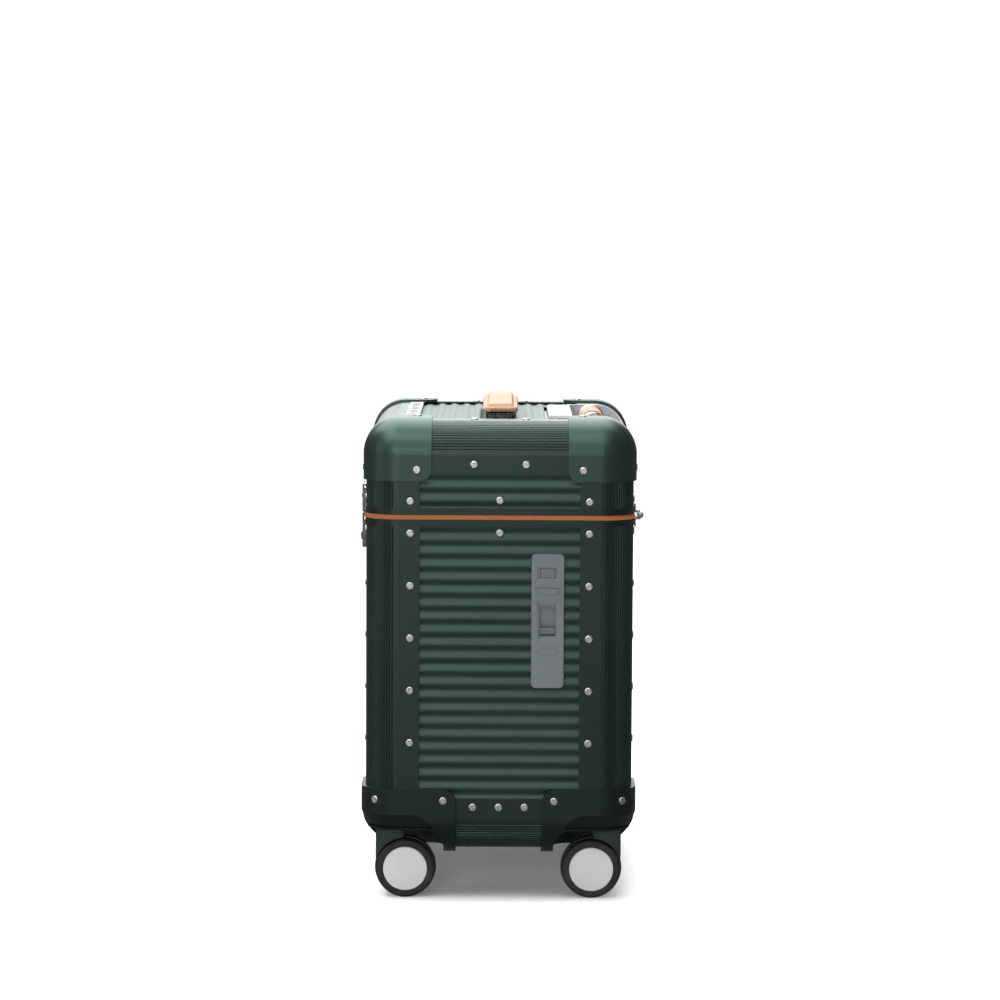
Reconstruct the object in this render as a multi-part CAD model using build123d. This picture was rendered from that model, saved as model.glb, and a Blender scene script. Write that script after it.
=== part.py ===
from build123d import *
import math
import os

# Aluminium trunk case on four twin-wheel casters.
# Frame: origin on the floor under the middle of the case, +Z up.
# -Y is the narrow end with the control plate, +X is the side with the lid hinges
# and the pull-up trolley, -X is the side with the latches. Millimetres.

# ---- case ----
CASE_X = 277.2            # over the flat side faces
CASE_Y = 398.0            # over the flat end faces
CASE_BOTTOM = 52.0
CASE_TOP = 498.5
CORNER_R = 34.0           # every outer edge of the case
SEAM_Z = 400.2            # middle of the leather strip between body and lid
STRIP_H = 5.0
RIM_H = 6.8
RIM_PROUD = 1.0
RIM_DEPTH = 5.0
STRIP_PROUD = 1.8
HX = CASE_X / 2
HY = CASE_Y / 2
STRIP_LOW = SEAM_Z - STRIP_H / 2
STRIP_HIGH = SEAM_Z + STRIP_H / 2
BODY_RIM_LOW = STRIP_LOW - RIM_H
LID_RIM_LOW = STRIP_HIGH + 0.2
LID_RIM_HIGH = STRIP_HIGH + RIM_H

# ---- extruded edge profiles ----
PROFILE_T = 1.6
POST_FLANGE = 56.0        # from the outer corner to the flange's free edge
EDGE_FLANGE = 53.8
BASE_FLANGE = 55.9
GROOVE_PITCH = 3.0
GROOVE_W = 1.3
GROOVE_DEPTH = 0.55
POST_BOTTOM = 95.0

# ---- ribbed sheet panels ----
RIB_PITCH = 13.6
RIB_DEPTH = 1.5
SHEET_T = 0.9
SHEET_SET = 1.8           # from the case's face in to the rib crests
RIB_PHASE_Z = 380.3       # where a rib's upper slope is steepest
PANEL_TUCK = 4.0          # how far a panel runs on behind a flange
PANEL_INNER = SHEET_SET + RIB_DEPTH + SHEET_T

# ---- corner caps on the lid ----
CAP_PROUD = 3.0
CAP_REACH = 71.0          # along each edge, from the cap's outer face
CAP_LOW = 437.2
CAP_ROUND = 12.0

# ---- corner brackets and wheel wells on the body ----
BRACKET_PROUD = 4.5
BRACKET_REACH = 98.6
BRACKET_TOP = 117.7
BRACKET_LOW = 49.5
BRACKET_ROUND = 14.0
WELL_REACH = 81.6         # from the case's face in to the well's inner wall
WELL_ROOF = 74.0
WELL_WALL = 2.5
ARCH_ROUND = 18.0
FENDER_TOP = 91.0
FENDER_TAPER = 27.0       # degrees that the fender leans in below its top line
FENDER_WALL = 3.8
FENDER_ROUND = 26.0

# ---- casters ----
WHEEL_R = 30.5
HUB_R = 23.0
WHEEL_W = 14.0
WEB_T = 7.0               # fork web between the two wheels
WHEEL_GAP = 0.5
SWIVEL_X = 112.0
SWIVEL_Y = 160.0
TRAIL = 15.0
STEM_R = 5.0
AXLE_R = 3.0
RUN_GAP = 0.06            # radial clearance of pins and shafts
FORK_TOP = WELL_ROOF - 0.5

# ---- rivets ----
RIVET_R = 4.1
RIVET_H = 1.5
SHANK_R = 2.0
RIVET_SLOT = (6.0, 1.0, 1.3)
POST_RIVET_IN = 46.3      # from the outer corner to a flange's rivet row
POST_RIVET_PITCH = 54.4
POST_RIVET_TOP = 383.4
POST_RIVETS = 5

# ---- trolley ----
TUBE_X = 98.0
TUBE_Y = 27.0
OUTER_TUBE_R = 9.0
STAGE_ONE_R = 7.7
STAGE_TWO_R = 6.6
TUBE_WALL = 0.8
TRAY_FLOOR = 452.0
TRAY_X = (76.0, 128.0)
TRAY_HALF_Y = 97.0
TOWER_HALF_Y = 104.0
TOWER_IN_X = 73.0
TOWER_TOP = 498.8
TONGUE_X = 51.0
NOTCH_X = 47.4
NOTCH_HALF_Y = 106.0
GRIP_R = 13.0
GRIP_Z = 488.4
GRIP_HALF_Y = 42.0
SLEEVE_HALF_Y = 36.5
FRONT_CAP_R = 11.2
REAR_CAP_R = 14.4
LEATHER_T = 1.6
RELEASE_R = 7.5
RELEASE_TRAVEL = 2.5

# ---- lid hinge and latches ----
HINGE_X = 146.0
HINGE_Y = 152.0
HINGE_HALF = 11.0
KNUCKLE_R = 3.2
PIN_R = 1.6
LEAF_X = HX + RIM_PROUD + 0.1
LEAF_T = 1.5
LATCH_Y = 120.0
LATCH_W = 42.0
LATCH_LOW = 363.0
LATCH_HIGH = 430.0
KEY_Z = 378.0
KEY_SHAFT_R = 3.0
KEY_DISC_R = 12.0
HOOK_TRAVEL = 6.0

# ---- lining ----
LINING_T = 1.5
LINING_SET = 5.2
LINING_FLOOR = 80.5
LINING_TOP = 491.5

# ---- carry handle on the lid ----
HANDLE_HALF_Y = 100.0
HANDLE_W = 37.0
HANDLE_LOW = 503.0
HANDLE_TOP = 517.0
HANDLE_GAP_Z = 507.5
POST_Y = 86.0
POST_R = 4.0
SLEEVE_R = 6.5
SLEEVE_LOW = 486.0

# ---- control plate ----
PLATE_X = 49.75
PLATE_W = 33.7
PLATE_LOW = 223.9
PLATE_HIGH = 363.2
PLATE_FACE = HY + 2.2
PLATE_SEAT = HY - SHEET_SET + 0.1
CASSETTE_IN = HY - 4.6
BUTTON_SIZE = (15.4, 9.5)
BUTTON_Z = 342.95
WINDOW_SIZE = (16.4, 32.1)
WINDOW_Z = 293.65
SLIDER_Z = 283.5


def block(x0, x1, y0, y1, z0, z1):
    """Axis-aligned box from its limits."""
    centre = Pos((x0 + x1) / 2, (y0 + y1) / 2, (z0 + z1) / 2)
    return centre * Box(x1 - x0, y1 - y0, z1 - z0)


def rod(radius, start, end):
    """Round bar between two points on a line along X, Y or Z."""
    line = Vector(*end) - Vector(*start)
    plane = Plane(origin=start, z_dir=line)
    return extrude(plane * Circle(radius), line.length)


def four_corners(piece):
    """The piece at the +X +Y corner and its three mirror images."""
    pair = [piece, mirror(piece, about=Plane.YZ)]
    return pair + [mirror(p, about=Plane.XZ) for p in pair]


def round_edges_at(piece, corner, radius):
    """Fillet the edges of a block that meet at one of its corners."""
    point = Vector(*corner)
    chosen = [e for e in piece.edges() if e.distance_to(point) < 1e-3]
    return fillet(chosen, radius)


def rounded_case(grow):
    """The case's outer form, grown outwards by an offset."""
    solid = block(-HX - grow, HX + grow, -HY - grow, HY + grow, CASE_BOTTOM - grow, CASE_TOP + grow)
    return fillet(solid.edges(), CORNER_R + grow)


def ring(grow_out, grow_in, z0, z1):
    """Rounded rectangular frame that follows the case's plan."""
    outer = RectangleRounded(CASE_X + 2 * grow_out, CASE_Y + 2 * grow_out, CORNER_R + grow_out)
    inner = RectangleRounded(CASE_X - 2 * grow_in, CASE_Y - 2 * grow_in, CORNER_R - grow_in)
    return Pos(0, 0, z0) * extrude(outer - inner, z1 - z0)


# ---- edge profiles -------------------------------------------------------

def profile_face(flange_u, flange_v):
    """Quarter-round section with fine grooves and a flat flange on each side.

    The outer corner of the case is at (0, 0) and the section lies in +u, +v."""
    def at(radius, degrees):
        a = math.radians(degrees)
        return (CORNER_R - radius * math.sin(a), CORNER_R - radius * math.cos(a))

    step = math.degrees(GROOVE_PITCH / CORNER_R)
    half = math.degrees(GROOVE_W / 2 / CORNER_R)
    count = 15
    points = [(flange_u, 0), (CORNER_R, 0)]
    for i in range(count):
        middle = 45 + (i - (count - 1) / 2) * step
        points += [at(CORNER_R, middle - half),
                   at(CORNER_R - GROOVE_DEPTH, middle),
                   at(CORNER_R, middle + half)]
    points += [(0, CORNER_R), (0, flange_v), (PROFILE_T, flange_v), (PROFILE_T, CORNER_R)]
    outside = Polyline(*points)
    inner_mid = at(CORNER_R - PROFILE_T, 45)
    inside = ThreePointArc((PROFILE_T, CORNER_R), inner_mid, (CORNER_R, PROFILE_T))
    last = Polyline((CORNER_R, PROFILE_T), (flange_u, PROFILE_T), (flange_u, 0))
    return make_face(outside + inside + last)


def upright(z0, z1):
    """Corner post at the +X +Y corner."""
    plane = Plane(origin=(HX, HY, z0), x_dir=(-1, 0, 0), z_dir=(0, 0, 1))
    return extrude(plane * profile_face(POST_FLANGE, POST_FLANGE), z1 - z0)


def top_edge_along_x(half_length, flange=EDGE_FLANGE):
    """Top edge profile of the -Y end."""
    plane = Plane(origin=(half_length, -HY, CASE_TOP), x_dir=(0, 1, 0), z_dir=(-1, 0, 0))
    return extrude(plane * profile_face(flange, flange), 2 * half_length)


def top_edge_along_y(y0, y1, flange=EDGE_FLANGE):
    """Top edge profile of the -X side."""
    plane = Plane(origin=(-HX, y0, CASE_TOP), x_dir=(1, 0, 0), z_dir=(0, 1, 0))
    return extrude(plane * profile_face(flange, flange), y1 - y0)


def to_bottom(piece):
    """Mirror a top piece down to the case's bottom."""
    middle = Plane(origin=(0, 0, (CASE_TOP + CASE_BOTTOM) / 2), z_dir=(0, 0, 1))
    return mirror(piece, about=middle)


# ---- ribbed panels -------------------------------------------------------

def ribbed_sheet(width, low, high, phase):
    """Sheet in the XZ plane with ribs along X; its crests face -Y at y = 0."""
    half = RIB_PITCH / 2
    first = math.floor((low - phase) / half) - 1
    last = math.ceil((high - phase) / half) + 1

    def wave(shift):
        arcs = []
        for k in range(first, last):
            start = phase + k * half
            side = -1 if k % 2 else 1
            middle = RIB_DEPTH / 2 + shift
            arcs.append(ThreePointArc(
                (middle, start),
                (middle + side * RIB_DEPTH / 2, start + half / 2),
                (middle, start + half)))
        return arcs

    bottom = phase + first * half
    top = phase + last * half
    ends = [Line((RIB_DEPTH / 2, z), (RIB_DEPTH / 2 + SHEET_T, z)) for z in (bottom, top)]
    face = make_face(Curve() + wave(0) + wave(SHEET_T) + ends)
    sheet = extrude(Plane.YZ * face, width / 2, both=True)
    return sheet & block(-width / 2, width / 2, -1, 6, low, high)


def end_panel(low, high):
    width = 2 * (HX - POST_FLANGE + PANEL_TUCK)
    return Pos(0, -HY + SHEET_SET, 0) * ribbed_sheet(width, low, high, RIB_PHASE_Z)


def side_panel(y0, y1, low, high):
    """Panel of the +X side from y0 to y1."""
    sheet = ribbed_sheet(y1 - y0, low, high, RIB_PHASE_Z)
    return Pos(HX - SHEET_SET, (y0 + y1) / 2, 0) * Rot(0, 0, 90) * sheet


def flat_panel(half_x, half_y):
    """Panel facing +Z with its ribs along Y; its crests lie at z = 0."""
    sheet = ribbed_sheet(2 * half_y, -half_x, half_x, 0)
    return Rot(0, 0, 90) * Rot(-90, 0, 0) * sheet


SIDE_HALF = HY - POST_FLANGE + PANEL_TUCK
LOW_EDGE_Z = CASE_BOTTOM + BASE_FLANGE - PANEL_TUCK
HIGH_EDGE_Z = CASE_TOP - EDGE_FLANGE + PANEL_TUCK


def panel_cutout():
    return block(PLATE_X - PLATE_W / 2 + 2, PLATE_X + PLATE_W / 2 - 2, -HY - 1, -HY + 6,
                 PLATE_LOW + 2, PLATE_HIGH - 2)


# ---- rivets --------------------------------------------------------------

def rivet(shank):
    """Domed head with a cross slot, its seat at z = 0 and its shank below."""
    head = Cylinder(RIVET_R, RIVET_H, align=(Align.CENTER, Align.CENTER, Align.MIN))
    head = fillet(head.edges().group_by(Axis.Z)[-1], RIVET_H * 0.8)
    for turn in (20, 110):
        head -= Pos(0, 0, RIVET_H) * Rot(0, 0, turn) * Box(*RIVET_SLOT)
    if shank:
        head += Pos(0, 0, -shank / 2) * Cylinder(SHANK_R, shank)
    return head


def place(point, outward):
    return Plane(origin=point, z_dir=outward).location


def end_points(levels, along_x, face=HY):
    """Points on both end faces."""
    return [((x, s * face, z), (0, s, 0)) for z in levels for x in along_x for s in (-1, 1)]


def side_points(levels, along_y, sides=(-1, 1), face=HX):
    """Points on the side faces."""
    return [((s * face, y, z), (s, 0, 0)) for z in levels for y in along_y for s in sides]


POST_ROW_X = HX - POST_RIVET_IN
POST_ROW_Y = HY - POST_RIVET_IN
POST_LEVELS = [POST_RIVET_TOP - i * POST_RIVET_PITCH for i in range(POST_RIVETS)]
LID_LEVEL = 416.5
EDGE_LEVEL = 454.7
BASE_LEVEL = 98.8
EDGE_ROW_X = 26.8
TOP_ROW_Y = HY - 44.0
SIDE_ROW_Y = 55.0

BODY_POST_SPOTS = (end_points(POST_LEVELS, (-POST_ROW_X, POST_ROW_X))
                   + side_points(POST_LEVELS, (-POST_ROW_Y, POST_ROW_Y)))
BODY_EDGE_SPOTS = (end_points([BASE_LEVEL], (-EDGE_ROW_X, 0, EDGE_ROW_X))
                   + side_points([BASE_LEVEL], (-SIDE_ROW_Y, 0, SIDE_ROW_Y))
                   + [((x, y, CASE_BOTTOM), (0, 0, -1)) for x in (-EDGE_ROW_X, EDGE_ROW_X)
                      for y in (-TOP_ROW_Y, TOP_ROW_Y)])
LID_POST_SPOTS = (end_points([LID_LEVEL], (-POST_ROW_X, POST_ROW_X))
                  + side_points([LID_LEVEL], (-POST_ROW_Y, POST_ROW_Y)))
LID_EDGE_SPOTS = (end_points([EDGE_LEVEL], (-EDGE_ROW_X, EDGE_ROW_X))
                  + side_points([EDGE_LEVEL], (-SIDE_ROW_Y, SIDE_ROW_Y), sides=(-1,))
                  + [((x, y, CASE_TOP), (0, 0, 1)) for x in (-EDGE_ROW_X, EDGE_ROW_X)
                     for y in (-TOP_ROW_Y, TOP_ROW_Y)])
PANEL_FACE_Y = HY - SHEET_SET
PANEL_FACE_X = HX - SHEET_SET
BODY_PANEL_SPOTS = (end_points([384.0], (0,), PANEL_FACE_Y)
                    + side_points([384.0], (0,), face=PANEL_FACE_X))
LID_PANEL_SPOTS = (end_points([417.6], (0,), PANEL_FACE_Y)
                   + side_points([417.6], (0,), sides=(-1,), face=PANEL_FACE_X))
CAP_SPOT_IN = 52.9
CAP_LEVEL = 449.0
CAP_SPOTS = (end_points([CAP_LEVEL], (CAP_SPOT_IN - HX, HX - CAP_SPOT_IN), HY + CAP_PROUD)
             + side_points([CAP_LEVEL], (CAP_SPOT_IN - HY, HY - CAP_SPOT_IN), face=HX + CAP_PROUD)
             + [((x, y, CASE_TOP + CAP_PROUD), (0, 0, 1))
                for x in (CAP_SPOT_IN - HX, HX - CAP_SPOT_IN)
                for y in (CAP_SPOT_IN - HY, HY - CAP_SPOT_IN)])
BRACKET_SPOT_IN = 81.2
BRACKET_LEVEL = 106.0
CORNER_TURN = math.radians(37.5)     # of the corner rivet, from the end face's direction
CORNER_OUT_X = (CORNER_R + BRACKET_PROUD) * math.sin(CORNER_TURN)
CORNER_OUT_Y = (CORNER_R + BRACKET_PROUD) * math.cos(CORNER_TURN)
BRACKET_SPOTS = (end_points([BRACKET_LEVEL], (BRACKET_SPOT_IN - HX, HX - BRACKET_SPOT_IN),
                            HY + BRACKET_PROUD)
                 + side_points([BRACKET_LEVEL], (BRACKET_SPOT_IN - HY, HY - BRACKET_SPOT_IN),
                               face=HX + BRACKET_PROUD)
                 + [((sx * (HX - CORNER_R + CORNER_OUT_X), sy * (HY - CORNER_R + CORNER_OUT_Y),
                      BRACKET_LEVEL),
                     (sx * CORNER_OUT_X, sy * CORNER_OUT_Y, 0)) for sx in (-1, 1) for sy in (-1, 1)])


def rivet_set(spots, shank):
    shape = rivet(shank)
    return [place(point, outward) * shape for point, outward in spots]


def drill(piece, spots, depth):
    """Shank holes at the given spots."""
    pins = [place(p, n) * Pos(0, 0, -depth / 2 + 0.5) * Cylinder(SHANK_R, depth + 1) for p, n in spots]
    return piece - pins


# ---- body ----------------------------------------------------------------

def make_corner_posts():
    post = upright(POST_BOTTOM, BODY_RIM_LOW)
    return [drill(p, BODY_POST_SPOTS, PROFILE_T) for p in four_corners(post)]


WELL_X = HX - WELL_REACH
WELL_Y = HY - WELL_REACH


def make_bottom_edges():
    end = to_bottom(top_edge_along_x(WELL_X - WELL_WALL, BASE_FLANGE))
    side = to_bottom(top_edge_along_y(-WELL_Y + WELL_WALL, WELL_Y - WELL_WALL, BASE_FLANGE))
    pieces = [end, mirror(end, about=Plane.XZ), side, mirror(side, about=Plane.YZ)]
    return [drill(p, BODY_EDGE_SPOTS, PROFILE_T) for p in pieces]


def make_bottom_panel():
    half_x = HX - EDGE_FLANGE + PANEL_TUCK
    half_y = HY - EDGE_FLANGE + PANEL_TUCK
    panel = Pos(0, 0, CASE_BOTTOM + SHEET_SET) * Rot(180, 0, 0) * flat_panel(half_x, half_y)
    edge_x = WELL_X - WELL_WALL - 0.3
    edge_y = WELL_Y - WELL_WALL - 0.3
    for sx in (-1, 1):
        for sy in (-1, 1):
            corner = Pos(sx * (edge_x + 100), sy * (edge_y + 100), CASE_BOTTOM) * Box(200, 200, 20)
            panel -= corner
    return panel


def leaning_form(grow):
    """The case's plan under the fender's top line, leaning inwards on the way down."""
    plan = RectangleRounded(CASE_X + 2 * grow, CASE_Y + 2 * grow, CORNER_R + grow)
    plane = Plane(origin=(0, 0, FENDER_TOP), x_dir=(1, 0, 0), z_dir=(0, 0, -1))
    return extrude(plane * plan, FENDER_TOP - BRACKET_LOW + 1, taper=FENDER_TAPER)


def caster_bracket():
    """Corner bracket at +X +Y: outer skin, wheel well and swivel boss."""
    low_x = HX + BRACKET_PROUD - BRACKET_REACH
    low_y = HY + BRACKET_PROUD - BRACKET_REACH
    wall_x = WELL_X - WELL_WALL
    wall_y = WELL_Y - WELL_WALL
    region = block(low_x, 200, low_y, 300, BRACKET_LOW - 5, BRACKET_TOP)
    region = round_edges_at(region, (low_x, low_y, BRACKET_TOP), BRACKET_ROUND)
    outer = rounded_case(BRACKET_PROUD) & region
    skin = outer - rounded_case(0)
    skin += (outer & block(wall_x, 200, wall_y, 300, BRACKET_LOW - 1, FENDER_TOP)) - leaning_form(
        BRACKET_PROUD - FENDER_WALL)
    fender_zone = block(WELL_X + 8, 200, WELL_Y + 8, 300, 40, FENDER_TOP)
    fender_zone = round_edges_at(fender_zone, (WELL_X + 8, WELL_Y + 8, FENDER_TOP), FENDER_ROUND)
    skin -= fender_zone - leaning_form(BRACKET_PROUD)
    well = block(WELL_X, 200, WELL_Y, 300, 30, WELL_ROOF)
    well = round_edges_at(well, (WELL_X, WELL_Y, WELL_ROOF), ARCH_ROUND)
    cup = block(wall_x, HX, wall_y, HY, CASE_BOTTOM, WELL_ROOF + WELL_WALL)
    cup = round_edges_at(cup, (wall_x, wall_y, WELL_ROOF + WELL_WALL), ARCH_ROUND)
    cup &= rounded_case(0)
    boss = rod(10, (SWIVEL_X, SWIVEL_Y, WELL_ROOF), (SWIVEL_X, SWIVEL_Y, LINING_FLOOR - 0.5))
    bore = rod(STEM_R + RUN_GAP, (SWIVEL_X, SWIVEL_Y, 60), (SWIVEL_X, SWIVEL_Y, LINING_FLOOR))
    return skin + cup + boss - well - bore


def make_body_rim():
    return ring(RIM_PROUD, RIM_DEPTH, BODY_RIM_LOW, STRIP_LOW)


def make_seam_strip():
    return ring(STRIP_PROUD, RIM_DEPTH - 1, STRIP_LOW, STRIP_HIGH)


def make_body_lining():
    x0 = -HX + LINING_SET
    x1 = TOWER_IN_X - 0.5
    half_y = HY - LINING_SET
    outer = block(x0, x1, -half_y, half_y, LINING_FLOOR, BODY_RIM_LOW - 0.4)
    corner_r = CORNER_R - LINING_SET
    outer = fillet(outer.edges().filter_by(Axis.Z).group_by(Axis.X)[0], corner_r)
    outer = fillet(outer.edges().filter_by(Axis.Z).group_by(Axis.X)[-1], 8)
    inner = offset(outer, -LINING_T)
    upper = inner + Pos(0, 0, 4) * inner
    return outer - upper


def tower_shape():
    """Moulded trolley housing that stands on the body and fills the lid's notch."""
    y = TOWER_HALF_Y
    under_floor = TRAY_FLOOR - 3
    shape = block(TOWER_IN_X, HX, -y, y, STRIP_HIGH + 0.1, TOWER_TOP)
    shape += block(TONGUE_X, TOWER_IN_X + 1, -y, y, TOWER_TOP - 8, TOWER_TOP)
    edge = shape.edges().filter_by(Axis.Y).sort_by(lambda e: e.center().X + e.center().Z)[-1]
    shape = fillet(edge, CORNER_R)
    shape += block(NOTCH_X - 3.5, TOWER_IN_X + 1, -y + 1, y - 1, TOWER_TOP - 12, TOWER_TOP - 7.5)
    tongue_trim = block(TONGUE_X - 1, TOWER_IN_X, y - 10, y + 1, TOWER_TOP - 1.2, TOWER_TOP + 1)
    shape -= [tongue_trim, mirror(tongue_trim, about=Plane.XZ)]
    skirt_x = HX - RIM_DEPTH - 1
    shape += block(TOWER_IN_X, skirt_x, -y, y, 376, STRIP_HIGH + 0.2)
    shape -= block(TOWER_IN_X + 2.5, skirt_x - 2.5, -y + 2.5, y - 2.5, 370, under_floor)
    recess = block(*TRAY_X, -TRAY_HALF_Y, TRAY_HALF_Y, TRAY_FLOOR, 520)
    recess = fillet(recess.edges().filter_by(Axis.Z), 9)
    recess = fillet(recess.faces().sort_by(Axis.Z)[0].edges(), 4)
    shape -= recess
    top_edges = [e for e in shape.edges().filter_by(Axis.Y) if e.center().Z > TOWER_TOP - 0.1]
    left_lip = min(top_edges, key=lambda e: e.center().X)
    shape = chamfer(left_lip, 1.5)
    for s in (-1, 1):
        shape -= Pos(TUBE_X, s * TUBE_Y, TRAY_FLOOR - 1) * Cylinder(STAGE_ONE_R + 0.4, 12)
    return shape


def tube_pair(radius, wall, z0, z1):
    tube = Cylinder(radius, z1 - z0) - Cylinder(radius - wall, z1 - z0 + 2)
    return [Pos(TUBE_X, s * TUBE_Y, (z0 + z1) / 2) * tube for s in (-1, 1)]


BASE_BLOCK_LOW = CASE_BOTTOM + PANEL_INNER + 0.8
OUTER_LOW = 66.0
STAGE_ONE_LOW = 68.0
STAGE_TWO_LOW = 70.0
STAGE_TWO_IN = 7.0        # how far the inner tubes enter the grip, from its lowest line


def make_trolley_base():
    base = block(TUBE_X - 14, TUBE_X + 14, -TUBE_Y - 15, TUBE_Y + 15, BASE_BLOCK_LOW, 76)
    base = fillet(base.edges().filter_by(Axis.Z), 5)
    for s in (-1, 1):
        base -= Pos(TUBE_X, s * TUBE_Y, (OUTER_LOW + 90) / 2) * Cylinder(OUTER_TUBE_R, 90 - OUTER_LOW)
    return base


def make_stage_one():
    collar = Pos(0, 0, TRAY_FLOOR + 2.7) * (Cylinder(9.6, 5) - Cylinder(STAGE_TWO_R + 0.35, 8))
    collar = fillet(collar.edges().group_by(Axis.Z)[-1].sort_by(SortBy.LENGTH)[-1], 1)
    tubes = tube_pair(STAGE_ONE_R, TUBE_WALL, STAGE_ONE_LOW, TRAY_FLOOR + 4)
    return [t + Pos(TUBE_X, s * TUBE_Y, 0) * collar for t, s in zip(tubes, (-1, 1))]


# ---- trolley grip ----

def grip_bar(radius, half_y):
    """Round bar along Y on the grip's axis."""
    return rod(radius, (TUBE_X, -half_y, GRIP_Z), (TUBE_X, half_y, GRIP_Z))


def release_space(radius, y0, y1):
    return rod(radius, (TUBE_X, y0, GRIP_Z), (TUBE_X, y1, GRIP_Z))


def make_grip():
    ends = [rod(FRONT_CAP_R, (TUBE_X, -GRIP_HALF_Y, GRIP_Z), (TUBE_X, -SLEEVE_HALF_Y, GRIP_Z)),
            rod(REAR_CAP_R, (TUBE_X, SLEEVE_HALF_Y, GRIP_Z), (TUBE_X, GRIP_HALF_Y, GRIP_Z))]
    caps = [fillet(e.edges().filter_by(GeomType.CIRCLE), 1.4) for e in ends]
    grip = grip_bar(GRIP_R - LEATHER_T, SLEEVE_HALF_Y + 1) + caps
    for s in (-1, 1):
        grip -= Pos(TUBE_X, s * TUBE_Y, GRIP_Z - GRIP_R) * Cylinder(STAGE_TWO_R, 2 * STAGE_TWO_IN)
    return grip - release_space(RELEASE_R + 0.4, -GRIP_HALF_Y - 1, -GRIP_HALF_Y + 5)


def make_grip_leather():
    sleeve = grip_bar(GRIP_R, SLEEVE_HALF_Y) - grip_bar(GRIP_R - LEATHER_T, SLEEVE_HALF_Y + 2)
    for s in (-1, 1):
        sleeve -= Pos(TUBE_X, s * TUBE_Y, GRIP_Z - GRIP_R) * Cylinder(STAGE_TWO_R + 0.3, 16)
    return sleeve


def make_release_button():
    cap = release_space(RELEASE_R, -GRIP_HALF_Y - 0.6, -GRIP_HALF_Y + 5 - RELEASE_TRAVEL - 0.3)
    return fillet(cap.edges().filter_by(GeomType.CIRCLE).sort_by(Axis.Y)[0], 0.8)


# ---- control plate ----

def face_block(size, z, depth_from, depth_to):
    """Block on the -Y end between two depths measured from the case's middle."""
    w, h = size
    return block(PLATE_X - w / 2, PLATE_X + w / 2, -depth_to, -depth_from, z - h / 2, z + h / 2)


def face_bevel(size, z, depth):
    """Funnel-shaped cut in the plate's face."""
    plane = Plane(origin=(PLATE_X, -PLATE_FACE, z), x_dir=(1, 0, 0), z_dir=(0, 1, 0))
    return extrude(plane * Rectangle(*size), depth, taper=58)


def make_control_plate():
    middle = (PLATE_LOW + PLATE_HIGH) / 2
    plate = face_block((PLATE_W, PLATE_HIGH - PLATE_LOW), middle, PLATE_SEAT, PLATE_FACE)
    plate = fillet(plate.edges().filter_by(Axis.Y), 4.8)
    plate = fillet(plate.faces().sort_by(Axis.Y)[0].edges(), 0.9)
    plate += face_block((PLATE_W - 5, PLATE_HIGH - PLATE_LOW - 5), middle, CASSETTE_IN, PLATE_SEAT + 1)
    plate -= face_bevel((22.6, 15.3), BUTTON_Z + 0.4, 1.5)
    plate -= face_bevel((22.7, 43.3), WINDOW_Z + 0.1, 1.9)
    pocket_floor = CASSETTE_IN + 0.8
    plate -= face_block(BUTTON_SIZE, BUTTON_Z, pocket_floor, PLATE_FACE + 1)
    plate -= face_block(WINDOW_SIZE, WINDOW_Z, pocket_floor, PLATE_FACE + 1)
    ridge = face_block((22.5, 5.9), 324.5, PLATE_FACE - 0.5, PLATE_FACE + 1.3)
    ridge = fillet(ridge.faces().sort_by(Axis.Y)[0].edges(), 1.1)
    mark_plane = Plane(origin=(PLATE_X + 0.3, -PLATE_FACE + 0.3, 261.3), x_dir=(1, 0, 0), z_dir=(0, -1, 0))
    mark = extrude(mark_plane * (SlotOverall(21.4, 7.0) - SlotOverall(19.8, 5.4)), 0.6)
    arrow_plane = Plane(origin=(PLATE_X, -PLATE_FACE + 0.3, 268.4), x_dir=(1, 0, 0), z_dir=(0, -1, 0))
    arrow = extrude(arrow_plane * Rot(0, 0, -90) * RegularPolygon(1.7, 3), 0.6)
    return plate + ridge + mark + arrow


def make_push_button():
    w, h = BUTTON_SIZE
    cap = face_block((w - 0.4, h - 0.4), BUTTON_Z, PLATE_FACE - 4.0, PLATE_FACE - 0.6)
    return fillet(cap.faces().sort_by(Axis.Y)[0].edges(), 0.7)


def make_slide_catch():
    w = WINDOW_SIZE[0] - 0.8
    catch = face_block((w, 5.9), SLIDER_Z, PLATE_FACE - 5.5, PLATE_FACE - 0.7)
    catch = fillet(catch.faces().sort_by(Axis.Y)[0].edges(), 0.9)
    for dz in (-1.2, 0.6):
        catch -= face_block((w - 3, 0.6), SLIDER_Z + dz, PLATE_FACE - 1.2, PLATE_FACE)
    return catch


# ---- hinges ----

def hinge_leaf(lid):
    """One leaf with its knuckles at +Y, for the lid or for the body."""
    up = 1 if lid else -1
    y0 = HINGE_Y - HINGE_HALF
    y1 = HINGE_Y + HINGE_HALF
    near = 3.2
    far = 12.0
    zs = sorted((SEAM_Z + up * near, SEAM_Z + up * far))
    leaf = block(LEAF_X, LEAF_X + LEAF_T, y0, y1, zs[0], zs[1])
    web_z = sorted((SEAM_Z + up * 1.9, SEAM_Z + up * 4.6))
    parts = [(-3.9, 3.9)] if lid else [(-HINGE_HALF, -4.1), (4.1, HINGE_HALF)]
    bore = PIN_R + RUN_GAP if lid else PIN_R
    for a, b in parts:
        leaf += block(LEAF_X + 1.0, HINGE_X, HINGE_Y + a, HINGE_Y + b, web_z[0], web_z[1])
        leaf += rod(KNUCKLE_R, (HINGE_X, HINGE_Y + a, SEAM_Z), (HINGE_X, HINGE_Y + b, SEAM_Z))
    leaf -= rod(bore, (HINGE_X, y0 - 1, SEAM_Z), (HINGE_X, y1 + 1, SEAM_Z))
    return [leaf, mirror(leaf, about=Plane.XZ)]


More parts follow.
